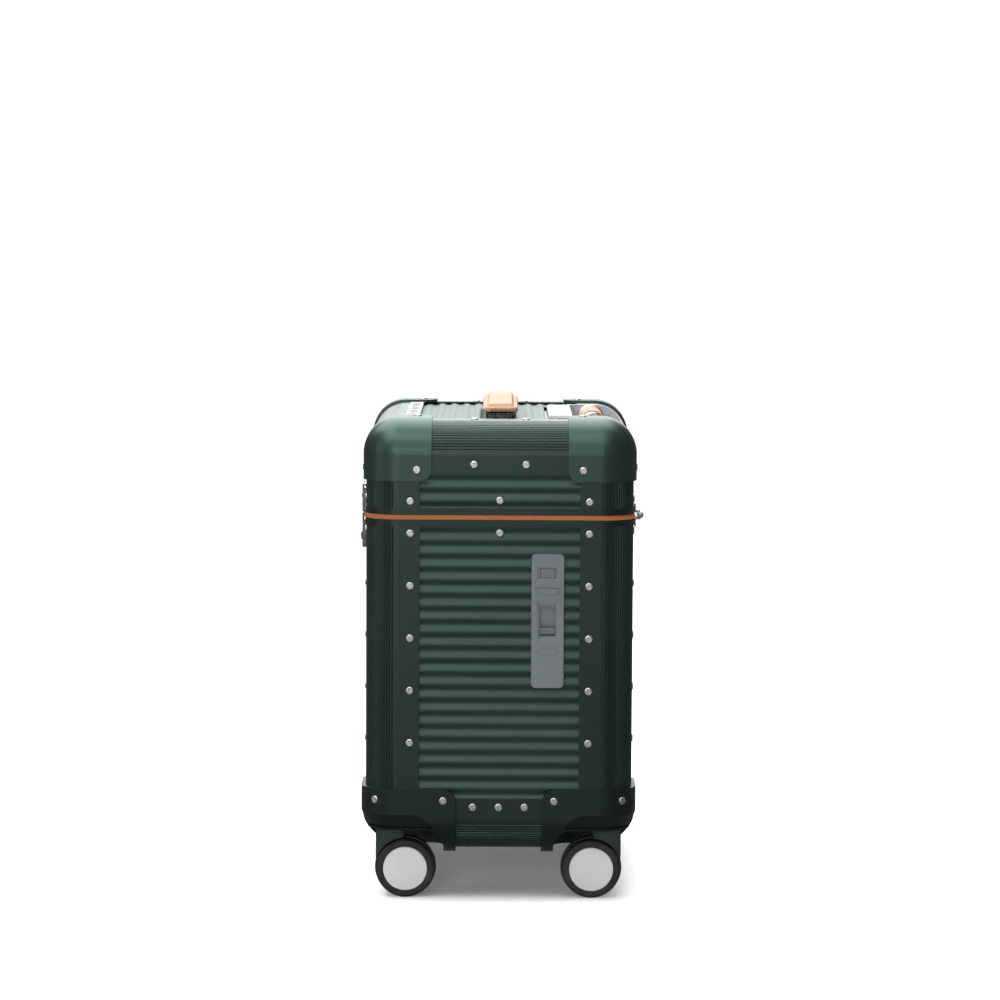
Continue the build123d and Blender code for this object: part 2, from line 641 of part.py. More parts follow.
def make_hinge_pins():
    y0 = HINGE_Y - HINGE_HALF
    y1 = HINGE_Y + HINGE_HALF
    pin = rod(PIN_R, (HINGE_X, y0, SEAM_Z), (HINGE_X, y1, SEAM_Z))
    for y, s in ((y0, -1), (y1, 1)):
        head = rod(2.6, (HINGE_X, y, SEAM_Z), (HINGE_X, y + s * 1.8, SEAM_Z))
        pin += fillet(head.edges().group_by(Axis.Y)[0 if s < 0 else -1], 1.2)
    return [pin, mirror(pin, about=Plane.XZ)]


# ---- latches on the -X side ----
BASE_OUT = HX + 2.9
BASE_IN = HX + 1.2
HOOK_IN = BASE_OUT + 0.3
HOOK_OUT = HOOK_IN + 1.4
KEY_IN = HOOK_OUT + 0.3
KEY_OUT = KEY_IN + 1.8
RAIL_OUT = HX + 5.0


def latch_plate(y, low, high):
    """Plate with rounded corners."""
    half = LATCH_W / 2
    plate = block(-BASE_OUT, -BASE_IN, y - half, y + half, low, high)
    return fillet(plate.edges().filter_by(Axis.X), 4)


def latch_rails(y, low, high, round_at):
    """Two raised rails beside the hook, rounded off at the latch's far end."""
    rails = []
    for s in (-1, 1):
        rail = block(-RAIL_OUT, -BASE_OUT, y + s * 19 - 2, y + s * 19 + 2, low, high)
        far = [e for e in rail.edges().filter_by(Axis.Y)
               if abs(e.center().Z - round_at) < 0.1 and e.center().X < -BASE_OUT - 0.5]
        rails.append(fillet(far, 1.9))
    return rails


def make_latch_base(y):
    plate = latch_plate(y, LATCH_LOW, STRIP_LOW - 1.2)
    plate += block(-BASE_IN, -PANEL_FACE_X, y - 16, y + 16, LATCH_LOW + 3, BODY_RIM_LOW - 1)
    plate -= rod(KEY_SHAFT_R + RUN_GAP, (-BASE_OUT - 3, y, KEY_Z), (-PANEL_FACE_X + 0.5, y, KEY_Z))
    return [plate] + latch_rails(y, LATCH_LOW, SEAM_Z - 0.4, LATCH_LOW)


def make_latch_keeper(y):
    plate = latch_plate(y, SEAM_Z + 4.6, LATCH_HIGH)
    plate += block(-BASE_IN, -PANEL_FACE_X, y - 16, y + 16, LID_RIM_HIGH + 1, LATCH_HIGH - 3)
    rib = block(-BASE_OUT - 3.2, -BASE_OUT, y - 8, y + 8, 414.5, 418.5)
    rib = fillet(rib.edges().filter_by(Axis.Y).group_by(Axis.X)[0], 1.0)
    return [plate, rib] + latch_rails(y, SEAM_Z + 0.4, LATCH_HIGH, LATCH_HIGH)


def make_latch_hook(y):
    """Sliding tongue that the key drives up behind the keeper's rib."""
    hook = block(-HOOK_OUT, -HOOK_IN, y - 7, y + 7, KEY_Z - 9, 407.5)
    hook = fillet(hook.edges().filter_by(Axis.X), 2)
    slot = block(-HOOK_OUT - 1, -HOOK_IN + 1, y - 3.6, y + 3.6, KEY_Z - 3.4 - HOOK_TRAVEL, KEY_Z + 3.4)
    return hook - slot


def make_latch_key(y):
    """Butterfly key: disc, two wings and the shaft behind them."""
    plane = Plane(origin=(-KEY_IN, y, KEY_Z), x_dir=(0, 1, 0), z_dir=(-1, 0, 0))
    wings = SlotOverall(34, 8.5) + Circle(KEY_DISC_R * 0.72)
    key = extrude(plane * wings, KEY_OUT - KEY_IN)
    key = fillet(key.faces().sort_by(Axis.X)[0].edges(), 0.5)
    return key + rod(KEY_SHAFT_R, (-KEY_IN - 0.5, y, KEY_Z), (-PANEL_FACE_X - 0.2, y, KEY_Z))


# ---- lid -----------------------------------------------------------------
CAP_UNDER = 9.0
EDGE_HALF_X = HX + CAP_PROUD - CAP_REACH + CAP_UNDER
EDGE_HALF_Y = HY + CAP_PROUD - CAP_REACH + CAP_UNDER


def make_lid_posts():
    post = upright(LID_RIM_HIGH, CAP_LOW + 3)
    return [drill(p, LID_POST_SPOTS, PROFILE_T) for p in four_corners(post)]


def make_top_edges():
    end = top_edge_along_x(EDGE_HALF_X)
    left = top_edge_along_y(-EDGE_HALF_Y, EDGE_HALF_Y)
    stub = mirror(top_edge_along_y(NOTCH_HALF_Y, EDGE_HALF_Y), about=Plane.YZ)
    pieces = [end, mirror(end, about=Plane.XZ), left, stub, mirror(stub, about=Plane.XZ)]
    spots = LID_EDGE_SPOTS
    return [drill(p, spots, PROFILE_T) for p in pieces]


def corner_cap():
    low_x = HX + CAP_PROUD - CAP_REACH
    low_y = HY + CAP_PROUD - CAP_REACH
    region = block(low_x, 200, low_y, 300, CAP_LOW, 600)
    region = round_edges_at(region, (low_x, low_y, CAP_LOW), CAP_ROUND)
    return (rounded_case(CAP_PROUD) - rounded_case(0)) & region


def make_lid_rim():
    rim = ring(RIM_PROUD, RIM_DEPTH, LID_RIM_LOW, LID_RIM_HIGH)
    return rim - block(100, 200, -NOTCH_HALF_Y, NOTCH_HALF_Y, 390, 420)


def make_lid_top():
    half_x = HX - EDGE_FLANGE + PANEL_TUCK
    half_y = HY - EDGE_FLANGE + PANEL_TUCK
    panel = Pos(0, 0, CASE_TOP - SHEET_SET) * flat_panel(half_x, half_y)
    panel -= block(NOTCH_X, 200, -NOTCH_HALF_Y, NOTCH_HALF_Y, 480, 510)
    for s in (-1, 1):
        panel -= Pos(0, s * POST_Y, CASE_TOP) * Cylinder(SLEEVE_R, 20)
    return panel


def make_lid_lining():
    outer = block(-HX + LINING_SET, HX - LINING_SET, -HY + LINING_SET, HY - LINING_SET,
                  LID_RIM_HIGH + 0.4, LINING_TOP)
    outer = fillet(outer.edges().filter_by(Axis.Z), CORNER_R - LINING_SET)
    upper = outer.faces().sort_by(Axis.Z)[-1]
    outer = fillet(upper.edges(), 24)
    inner = offset(outer, -LINING_T)
    shape = outer - (inner + Pos(0, 0, -6) * inner)
    zone_y = NOTCH_HALF_Y + 1.5
    shape -= block(42, 200, -zone_y, zone_y, 400, 500)
    for s in (-1, 1):
        wall = block(42, 200, s * zone_y - LINING_T / 2, s * zone_y + LINING_T / 2, 400, 500)
        shape += (Pos(0, s * LINING_T / 2, 0) * wall) & outer
        shape -= Pos(0, s * POST_Y, LINING_TOP) * Cylinder(SLEEVE_R + 0.3, 30)
    return shape


def make_handle_brackets():
    """Seat with a cross bar and a guide sleeve under each end of the handle."""
    seat_top = HANDLE_LOW - 0.4
    panel_crest = CASE_TOP - SHEET_SET
    pieces = []
    for s in (-1, 1):
        y = s * POST_Y
        seat = block(-15.5, 15.5, y - 13, y + 13, panel_crest, CASE_TOP + 1.2)
        seat = fillet(seat.edges().filter_by(Axis.Z), 3)
        for side in (-1, 1):
            seat += block(side * 14.3 - 1.2, side * 14.3 + 1.2, y - 9, y + 9, CASE_TOP, seat_top)
        bar_y = y + s * 7
        seat += rod(2.0, (-15, bar_y, CASE_TOP + 1.9), (15, bar_y, CASE_TOP + 1.9))
        seat += rod(SLEEVE_R, (0, y, SLEEVE_LOW), (0, y, CASE_TOP + 1))
        seat -= rod(POST_R + RUN_GAP, (0, y, SLEEVE_LOW - 1), (0, y, CASE_TOP + 9))
        pieces.append(seat)
    return pieces


def handle_profile(low, high_mid, high_end, half):
    """Side outline of the strap in the YZ plane: flat ends and an arched middle."""
    reach = half - 26
    top = [(-half, high_end), (-reach, high_end + 3.2)]
    curve = ThreePointArc((-reach, high_end + 3.2), (0, high_mid), (reach, high_end + 3.2))
    under = ThreePointArc((reach - 6, low), (0, HANDLE_GAP_Z), (-reach + 6, low))
    first = Polyline((-reach + 6, low), (-half, low), *top)
    second = Polyline((reach, high_end + 3.2), (half, high_end), (half, low), (reach - 6, low))
    return Plane.YZ * make_face(first + curve + second + under)


def make_handle_leather():
    outline = handle_profile(HANDLE_LOW, HANDLE_TOP, HANDLE_LOW + 4, HANDLE_HALF_Y)
    strap = extrude(outline, HANDLE_W / 2, both=True)
    corners = strap.edges().filter_by(Axis.Z).group_by(Axis.Y)
    strap = fillet(corners[0] + corners[-1], 7)
    for s in (-1, 1):
        strap -= rod(POST_R, (0, s * POST_Y, HANDLE_LOW - 1), (0, s * POST_Y, HANDLE_LOW + 2.2))
    return strap


def make_handle_posts():
    pins = []
    for s in (-1, 1):
        y = s * POST_Y
        pin = rod(POST_R, (0, y, SLEEVE_LOW - 9), (0, y, HANDLE_LOW + 2.2))
        pin += rod(SLEEVE_R - 0.5, (0, y, SLEEVE_LOW - 11), (0, y, SLEEVE_LOW - 8.4))
        pins.append(pin)
    return pins


BADGE_X = (-HX + 39.2, -HX + 56.1)
BADGE_HALF_Y = 121.0
BAR_PITCH = 25.0


def make_badge():
    plate = block(BADGE_X[0], BADGE_X[1] - 3, -BADGE_HALF_Y, BADGE_HALF_Y, CASE_TOP, CASE_TOP + 0.9)
    return fillet(plate.edges().filter_by(Axis.Z), 3)


def make_badge_bars():
    """Plain slanted bars along the plate."""
    middle = (BADGE_X[0] + BADGE_X[1] - 3) / 2
    return [Pos(middle, BAR_PITCH * i, CASE_TOP + 1.1) * Rot(0, 0, 24) * Box(9.0, 8.0, 0.4)
            for i in range(-4, 5)]


# ---- casters -------------------------------------------------------------

def caster(sx, sy):
    """Fork, wheels and axle of one caster; the wheels trail towards the case's middle."""
    x = sx * SWIVEL_X
    y = sy * SWIVEL_Y
    axle_x = sx * (SWIVEL_X - TRAIL)
    plane = Plane(origin=(axle_x, y + WEB_T / 2, WHEEL_R), x_dir=(1, 0, 0), z_dir=(0, -1, 0))
    guard = Circle(WHEEL_R + 1.4) - Pos(0, -WHEEL_R - 40) * Rectangle(120, 120 - 34)
    web = extrude(plane * guard, WEB_T)
    spine = block(min(x, x + sx * 16), max(x, x + sx * 16), y - WEB_T / 2, y + WEB_T / 2, 26, FORK_TOP - 3)
    shoulder = block(min(axle_x, x + sx * 16), max(axle_x, x + sx * 16), y - 14, y + 14, 42, FORK_TOP - 2.5)
    shoulder = fillet(shoulder.edges().filter_by(Axis.Z), 6)
    shoulder -= rod(WHEEL_R + 1.2, (axle_x, y - 20, WHEEL_R), (axle_x, y + 20, WHEEL_R))
    fork = web + spine + shoulder + rod(13.5, (x, y, 63), (x, y, FORK_TOP))
    fork += rod(STEM_R, (x, y, 64), (x, y, LINING_FLOOR - 1))
    fork -= rod(AXLE_R, (axle_x, y - 10, WHEEL_R), (axle_x, y + 10, WHEEL_R))
    reach = WEB_T / 2 + WHEEL_GAP + WHEEL_W
    axle = rod(AXLE_R, (axle_x, y - reach + 3, WHEEL_R), (axle_x, y + reach - 3, WHEEL_R))
    tyres = []
    hubs = []
    for s in (-1, 1):
        inner = y + s * (WEB_T / 2 + WHEEL_GAP)
        outer = inner + s * WHEEL_W
        tyre = rod(WHEEL_R, (axle_x, inner, WHEEL_R), (axle_x, outer, WHEEL_R))
        tyre = fillet(tyre.edges(), 3.2)
        tyre -= rod(HUB_R, (axle_x, inner - s, WHEEL_R), (axle_x, outer + s, WHEEL_R))
        hub = rod(HUB_R, (axle_x, inner, WHEEL_R), (axle_x, outer + s * 0.6, WHEEL_R))
        rim_edge = hub.edges().sort_by(Axis.Y)[-1 if s > 0 else 0]
        hub = fillet(rim_edge, 1.4)
        hub -= rod(AXLE_R + RUN_GAP, (axle_x, inner - s, WHEEL_R), (axle_x, outer - s * 2.9, WHEEL_R))
        tyres.append(tyre)
        hubs.append(hub)
    return fork, axle, tyres, hubs


# ---- write every node ----------------------------------------------------

def save(name, shape):
    solids = []
    for item in shape if isinstance(shape, (list, tuple)) else [shape]:
        solids += item.solids()
    export_step(Compound(children=solids) if len(solids) > 1 else solids[0], f"parts/{name}.step")


def main():
    os.makedirs("parts", exist_ok=True)
    front = end_panel(LOW_EDGE_Z, BODY_RIM_LOW)
    save("front_panel", front - panel_cutout())
    save("rear_panel", mirror(front, about=Plane.XZ))
    right = side_panel(-SIDE_HALF, SIDE_HALF, LOW_EDGE_Z, BODY_RIM_LOW)
    save("right_panel", right)
    save("left_panel", mirror(right, about=Plane.YZ))
    save("bottom_panel", make_bottom_panel())
    save("corner_posts", make_corner_posts())
    save("bottom_edge_profiles", make_bottom_edges())
    save("caster_brackets", four_corners(caster_bracket()))
    save("body_rim", make_body_rim())
    save("seam_strip", make_seam_strip())
    save("body_lining", make_body_lining())
    save("body_rivets", rivet_set(BODY_POST_SPOTS + BODY_EDGE_SPOTS, PROFILE_T)
         + rivet_set(BODY_PANEL_SPOTS + BRACKET_SPOTS, 0))
    save("trolley_tower", tower_shape())
    save("trolley_base", make_trolley_base())
    save("trolley_outer_tubes", tube_pair(OUTER_TUBE_R, 1.0, OUTER_LOW, TRAY_FLOOR - 3))
    save("trolley_stage_one_tubes", make_stage_one())
    save("trolley_stage_two_tubes",
         tube_pair(STAGE_TWO_R, TUBE_WALL, STAGE_TWO_LOW, GRIP_Z - GRIP_R + STAGE_TWO_IN))
    save("trolley_grip", make_grip())
    save("grip_leather", make_grip_leather())
    save("release_button", make_release_button())
    save("control_plate", make_control_plate())
    save("push_button", make_push_button())
    save("slide_catch", make_slide_catch())
    save("hinge_body_leaves", hinge_leaf(False))
    save("hinge_lid_leaves", hinge_leaf(True))
    save("hinge_pins", make_hinge_pins())
    sides = {"front": -LATCH_Y, "rear": LATCH_Y}
    save("latch_bases", [piece for y in sides.values() for piece in make_latch_base(y)])
    save("latch_keepers", [piece for y in sides.values() for piece in make_latch_keeper(y)])
    for end, y in sides.items():
        save(f"latch_key_{end}", make_latch_key(y))
        save(f"latch_hook_{end}", make_latch_hook(y))
    lid_front = end_panel(LID_RIM_HIGH, HIGH_EDGE_Z)
    save("lid_front_panel", lid_front)
    save("lid_rear_panel", mirror(lid_front, about=Plane.XZ))
    lid_side = side_panel(-SIDE_HALF, SIDE_HALF, LID_RIM_HIGH, HIGH_EDGE_Z)
    save("lid_left_panel", mirror(lid_side, about=Plane.YZ))
    save("lid_right_panels", lid_side - block(100, 200, -NOTCH_HALF_Y, NOTCH_HALF_Y, 400, 500))
    save("lid_top_panel", make_lid_top())
    save("lid_posts", make_lid_posts())
    save("top_edge_profiles", make_top_edges())
    save("corner_caps", four_corners(corner_cap()))
    save("lid_rim", make_lid_rim())
    save("lid_lining", make_lid_lining())
    save("lid_rivets", rivet_set(LID_POST_SPOTS + LID_EDGE_SPOTS, PROFILE_T)
         + rivet_set(LID_PANEL_SPOTS + CAP_SPOTS, 0))
    save("handle_brackets", make_handle_brackets())
    save("handle_leather", make_handle_leather())
    save("handle_posts", make_handle_posts())
    save("badge_plate", make_badge())
    save("badge_bars", make_badge_bars())
    for end, sy in (("front", -1), ("rear", 1)):
        for side, sx in (("left", -1), ("right", 1)):
            fork, axle, tyres, hubs = caster(sx, sy)
            save(f"caster_fork_{end}_{side}", [fork, axle])
            save(f"caster_tyres_{end}_{side}", tyres)
            save(f"caster_hubs_{end}_{side}", hubs)


if __name__ == "__main__":
    main()
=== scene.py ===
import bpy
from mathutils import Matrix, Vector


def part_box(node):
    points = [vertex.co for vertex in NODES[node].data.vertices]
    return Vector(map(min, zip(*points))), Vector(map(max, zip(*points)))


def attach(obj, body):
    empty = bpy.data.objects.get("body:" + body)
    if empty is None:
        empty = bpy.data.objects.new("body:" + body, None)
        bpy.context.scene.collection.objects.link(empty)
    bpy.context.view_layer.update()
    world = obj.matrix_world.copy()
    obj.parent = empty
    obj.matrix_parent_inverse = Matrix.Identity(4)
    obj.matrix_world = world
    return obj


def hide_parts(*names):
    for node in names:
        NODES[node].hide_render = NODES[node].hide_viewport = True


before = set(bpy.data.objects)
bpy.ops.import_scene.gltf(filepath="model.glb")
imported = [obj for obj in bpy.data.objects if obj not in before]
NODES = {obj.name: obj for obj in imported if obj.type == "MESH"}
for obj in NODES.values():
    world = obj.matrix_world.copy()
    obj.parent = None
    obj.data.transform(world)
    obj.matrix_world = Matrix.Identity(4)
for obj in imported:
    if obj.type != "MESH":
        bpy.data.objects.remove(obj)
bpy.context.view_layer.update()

import math

import bmesh
import bpy
from mathutils import Matrix, Vector

MM = 0.001


def limits(node):
    """Lowest and highest corner of a CAD node as vectors."""
    low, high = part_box(node)
    return Vector(low), Vector(high)


# ---- camera ---------------------------------------------------------------
CAMERA_DISTANCE = 3.904       # in front of the case's flat end
CAMERA_HEIGHT = 0.7565
CAMERA_PITCH = math.radians(4.95)
CAMERA_ROLL = 0.00524
CAMERA_LENS = 137.2


def make_camera():
    end_face = limits("corner_posts")[0].y
    data = bpy.data.cameras.new("camera")
    data.lens = CAMERA_LENS
    data.sensor_width = 36.0
    data.clip_end = 100.0
    camera = bpy.data.objects.new("camera", data)
    place = Matrix.Translation((0, end_face - CAMERA_DISTANCE, CAMERA_HEIGHT))
    tilt = Matrix.Rotation(math.pi / 2 - CAMERA_PITCH, 4, "X")
    roll = Matrix.Rotation(CAMERA_ROLL, 4, "Z")
    camera.matrix_world = place @ tilt @ roll
    bpy.context.scene.collection.objects.link(camera)
    bpy.context.scene.camera = camera


# ---- light and stage ------------------------------------------------------

def area_light(name, place, target, size, power, shape="RECTANGLE"):
    data = bpy.data.lights.new(name, "AREA")
    data.shape = shape
    data.size, data.size_y = size
    data.energy = power
    light = bpy.data.objects.new(name, data)
    light.location = place
    aim = Vector(target) - Vector(place)
    light.rotation_euler = aim.to_track_quat("-Z", "Y").to_euler()
    bpy.context.scene.collection.objects.link(light)
    return light


def make_light():
    area_light("top_softbox", (-0.4, 1.0, 2.5), (0, 0.1, 0.3), (2.8, 2.6), 80)
    area_light("upper_front", (-0.6, -1.2, 2.3), (0, 0, 0.4), (2.4, 1.3), 26)
    area_light("front_key", (-0.75, -4.3, 1.25), (0, 0, 0.28), (0.8, 0.7), 30)
    area_light("left_fill", (-3.2, -1.6, 1.0), (0, 0, 0.3), (1.2, 1.6), 8)
    rear = area_light("rear_white", (0, 4.2, 1.75), (0, 0, 0.5), (2.6, 2.6), 42)
    rear.visible_camera = False
    rear.visible_diffuse = False
    world = bpy.data.worlds.new("studio")
    bpy.context.scene.world = world
    world.use_nodes = True
    background = world.node_tree.nodes["Background"]
    background.inputs["Color"].default_value = (1, 1, 1, 1)
    background.inputs["Strength"].default_value = 0.11
    bpy.context.scene.view_settings.view_transform = "Standard"


PAPER_RADIUS = 0.75           # the paper that the case stands on; it is hidden from glossy rays
FLOOR_RADIUS = 2.9
FOOTPRINT = (0.115, 0.180)    # half sizes of the ground that the case shades, where the floor's glow is painted dim
GLOW_START = -0.03            # the paper starts to glow this far outside the footprint
GLOW_REACH = 0.06
SWEEP_FLAT = 5.0
SWEEP_RADIUS = 3.0
SWEEP_HEIGHT = 7.0
SWEEP_SIDES = 64


def plain_object(name, bm, smooth=True):
    """New object from a bmesh, linked into the scene."""
    mesh = bpy.data.meshes.new(name)
    bm.to_mesh(mesh)
    bm.free()
    for face in mesh.polygons:
        face.use_smooth = smooth
    item = bpy.data.objects.new(name, mesh)
    bpy.context.scene.collection.objects.link(item)
    return item


def link_mesh(name, bm, materials):
    bmesh.ops.recalc_face_normals(bm, faces=bm.faces)
    item = plain_object(name, bm)
    for material in materials:
        item.data.materials.append(material)
    return item


def bridge(bm, rows, closed=True):
    """Faces between successive loops of the same length."""
    count = len(rows[0])
    for a, b in zip(rows, rows[1:]):
        for k in range(count if closed else count - 1):
            n = (k + 1) % count
            bm.faces.new((a[k], a[n], b[n], b[k]))


def studio_paper(name, glow):
    """White paper that glows a little, so that it stays evenly white."""
    mat = bpy.data.materials.new(name)
    mat.use_nodes = True
    shader = mat.node_tree.nodes["Principled BSDF"]
    shader.inputs["Base Color"].default_value = (0.93, 0.93, 0.93, 1)
    shader.inputs["Roughness"].default_value = 0.9
    shader.inputs["Specular IOR Level"].default_value = 0.1
    shader.inputs["Emission Color"].default_value = (1, 1, 1, 1)
    shader.inputs["Emission Strength"].default_value = glow
    return mat


def fade_glow(mat, near, far):
    """Painted light: glow that grows with the distance outside the case's footprint, leaving painted shade
    under the case.
    """
    nodes, links = mat.node_tree.nodes, mat.node_tree.links

    def maths(kind, *values):
        node = nodes.new("ShaderNodeMath")
        node.operation = kind
        for slot, value in zip(node.inputs, values):
            if isinstance(value, float):
                slot.default_value = value
            else:
                links.new(value, slot)
        return node.outputs["Value"]

    split = nodes.new("ShaderNodeSeparateXYZ")
    links.new(nodes.new("ShaderNodeTexCoord").outputs["Object"], split.inputs[0])
    past_x = maths("SUBTRACT", maths("ABSOLUTE", split.outputs["X"]), FOOTPRINT[0])
    past_y = maths("SUBTRACT", maths("ABSOLUTE", split.outputs["Y"]), FOOTPRINT[1])
    ramp = nodes.new("ShaderNodeMapRange")
    ramp.interpolation_type = "SMOOTHSTEP"
    for socket, value in (("From Min", GLOW_START), ("From Max", GLOW_REACH),
                          ("To Min", near), ("To Max", far)):
        ramp.inputs[socket].default_value = value
    links.new(maths("SMOOTH_MAX", past_x, past_y, 0.04), ramp.inputs["Value"])
    links.new(ramp.outputs["Result"], nodes["Principled BSDF"].inputs["Emission Strength"])


def ring_of_points(bm, radius, height):
    return [bm.verts.new((radius * math.cos(2 * math.pi * k / SWEEP_SIDES),
                          radius * math.sin(2 * math.pi * k / SWEEP_SIDES), height))
            for k in range(SWEEP_SIDES)]


def make_stage():
    """Pale round floor, and a backdrop that curves up from it on every side."""
    paper = studio_paper("studio_paper", 0.1)
    # painted light on the floor: weak glow under the case, strong glow round it
    fade_glow(paper, 0.12, 0.8)
    bm = bmesh.new()
    inner = ring_of_points(bm, PAPER_RADIUS, 0.0)
    bm.faces.new(inner)
    floor = plain_object("studio_floor", bm)
    floor.data.materials.append(paper)
    floor.visible_glossy = False
    bm = bmesh.new()
    inner = ring_of_points(bm, PAPER_RADIUS, 0.0)
    outer = ring_of_points(bm, FLOOR_RADIUS, 0.0)
    for k in range(SWEEP_SIDES):
        n = (k + 1) % SWEEP_SIDES
        bm.faces.new((inner[k], outer[k], outer[n], inner[n]))
    far_floor = plain_object("studio_far_floor", bm)
    far_floor.data.materials.append(paper)
    far_floor.visible_glossy = False
    outline = [(FLOOR_RADIUS - 0.1, -0.002)]
    outline += [(SWEEP_FLAT + SWEEP_RADIUS * math.sin(a), SWEEP_RADIUS * (1 - math.cos(a)) - 0.002)
                for a in (math.radians(90 * i / 12) for i in range(13))]
    outline.append((SWEEP_FLAT + SWEEP_RADIUS, SWEEP_HEIGHT))
    bm = bmesh.new()
    rings = [ring_of_points(bm, radius, height) for radius, height in outline]
    for a, b in zip(rings, rings[1:]):
        for k in range(SWEEP_SIDES):
            n = (k + 1) % SWEEP_SIDES
            bm.faces.new((a[k], b[k], b[n], a[n]))
    backdrop = plain_object("studio_backdrop", bm)
    backdrop.data.materials.append(studio_paper("studio_backdrop_paper", 1.0))
    backdrop.visible_glossy = False
    backdrop.visible_diffuse = False
    backdrop.visible_shadow = False


# ---- material building ----------------------------------------------------

class Material:
    """Node material with helpers for noise, ramps and bump, all in metres."""

    def __init__(self, name, metallic=0.0, **sockets):
        self.mat = bpy.data.materials.new(name)
        self.mat.use_nodes = True
        self.tree = self.mat.node_tree
        self.shader = self.tree.nodes["Principled BSDF"]
        self.shader.inputs["Metallic"].default_value = metallic
        for socket, value in sockets.items():
            self.shader.inputs[socket.replace("_", " ")].default_value = value
        self.coords = self.tree.nodes.new("ShaderNodeTexCoord").outputs["Object"]
        self.normal = None

    def link(self, output, target):
        self.tree.links.new(output, target)

    def stretched(self, scale):
        """Object coordinates scaled along each axis."""
        mapping = self.tree.nodes.new("ShaderNodeMapping")
        mapping.inputs["Scale"].default_value = scale
        self.link(self.coords, mapping.inputs["Vector"])
        return mapping.outputs["Vector"]

    def noise(self, scale, detail=3.0, vector=None, roughness=0.5):
        node = self.tree.nodes.new("ShaderNodeTexNoise")
        node.inputs["Scale"].default_value = scale
        node.inputs["Detail"].default_value = detail
        node.inputs["Roughness"].default_value = roughness
        self.link(vector or self.coords, node.inputs["Vector"])
        return node.outputs["Fac"]

    def voronoi(self, scale, feature="F1", vector=None):
        node = self.tree.nodes.new("ShaderNodeTexVoronoi")
        node.feature = feature
        node.inputs["Scale"].default_value = scale
        self.link(vector or self.coords, node.inputs["Vector"])
        return node.outputs["Distance"]

    def wave(self, scale, direction="X", vector=None, distortion=0.0):
        node = self.tree.nodes.new("ShaderNodeTexWave")
        node.bands_direction = direction
        node.inputs["Scale"].default_value = scale
        node.inputs["Distortion"].default_value = distortion
        self.link(vector or self.coords, node.inputs["Vector"])
        return node.outputs["Fac"]

    def span(self, value, low, high, from_low=0.3, from_high=0.7):
        """Value mapped from a noise's usual range to low..high."""
        node = self.tree.nodes.new("ShaderNodeMapRange")
        node.inputs["From Min"].default_value = from_low
        node.inputs["From Max"].default_value = from_high
        node.inputs["To Min"].default_value = low
        node.inputs["To Max"].default_value = high
        self.link(value, node.inputs["Value"])
        return node.outputs["Result"]

    def math(self, kind, a, b):
        node = self.tree.nodes.new("ShaderNodeMath")
        node.operation = kind
        for slot, value in zip(node.inputs, (a, b)):
            if isinstance(value, (int, float)):
                slot.default_value = value
            else:
                self.link(value, slot)
        return node.outputs["Value"]

    def mix(self, factor, a, b):
        """Colour mix; a and b are colours or outputs."""
        node = self.tree.nodes.new("ShaderNodeMix")
        node.data_type = "RGBA"
        for slot, value in ((node.inputs[0], factor), (node.inputs[6], a), (node.inputs[7], b)):
            if isinstance(value, (tuple, list)):
                slot.default_value = (*value, 1)
            elif isinstance(value, (int, float)):
                slot.default_value = value
            else:
                self.link(value, slot)
        return node.outputs[2]

    def edge_mask(self, radius):
        """1 on convex and concave edges, 0 on flats."""
        bevel = self.tree.nodes.new("ShaderNodeBevel")
        bevel.samples = 4
        bevel.inputs["Radius"].default_value = radius
        geometry = self.tree.nodes.new("ShaderNodeNewGeometry")
        dot = self.tree.nodes.new("ShaderNodeVectorMath")
        dot.operation = "DOT_PRODUCT"
        self.link(bevel.outputs["Normal"], dot.inputs[0])
        self.link(geometry.outputs["Normal"], dot.inputs[1])
        return self.span(dot.outputs["Value"], 1.0, 0.0, 0.75, 0.97)

    def soften(self, radius):
        """Rounds sharp edges in the shading."""
        bevel = self.tree.nodes.new("ShaderNodeBevel")
        bevel.samples = 4
        bevel.inputs["Radius"].default_value = radius
        self.normal = bevel.outputs["Normal"]

    def bump(self, height, distance, strength=1.0):
        node = self.tree.nodes.new("ShaderNodeBump")
        node.inputs["Distance"].default_value = distance
        node.inputs["Strength"].default_value = strength
        self.link(height, node.inputs["Height"])
        if self.normal:
            self.link(self.normal, node.inputs["Normal"])
        self.normal = node.outputs["Normal"]

    def finish(self, colour=None, roughness=None):
        if colour is not None:
            self.link(colour, self.shader.inputs["Base Color"])
        if roughness is not None:
            self.link(roughness, self.shader.inputs["Roughness"])
        if self.normal:
            self.link(self.normal, self.shader.inputs["Normal"])
        return self.mat


def anodised(name, dark, light, roughness, coat=0.6, worn=(0.24, 0.32, 0.28)):
    """Satin anodised aluminium with a fine blasted grain, faint clouding and rubbed edges."""
    m = Material(name, metallic=0.9, Coat_Weight=coat, Coat_Roughness=0.40)
    cloud = m.noise(9.0, 4.0)
    grain = m.noise(1500.0, 3.0)
    tone = m.mix(m.span(cloud, 0.0, 1.0), dark, light)
    edge = m.math("MULTIPLY", m.edge_mask(0.0006), m.span(m.noise(130.0, 5.0), 0.0, 0.35, 0.48, 0.72))
    tone = m.mix(edge, tone, worn)
    m.bump(grain, 0.00001, 0.35)
    rough = m.math("ADD", m.span(cloud, -0.03, 0.03), m.span(grain, roughness - 0.03, roughness + 0.03))
    return m.finish(tone, rough)


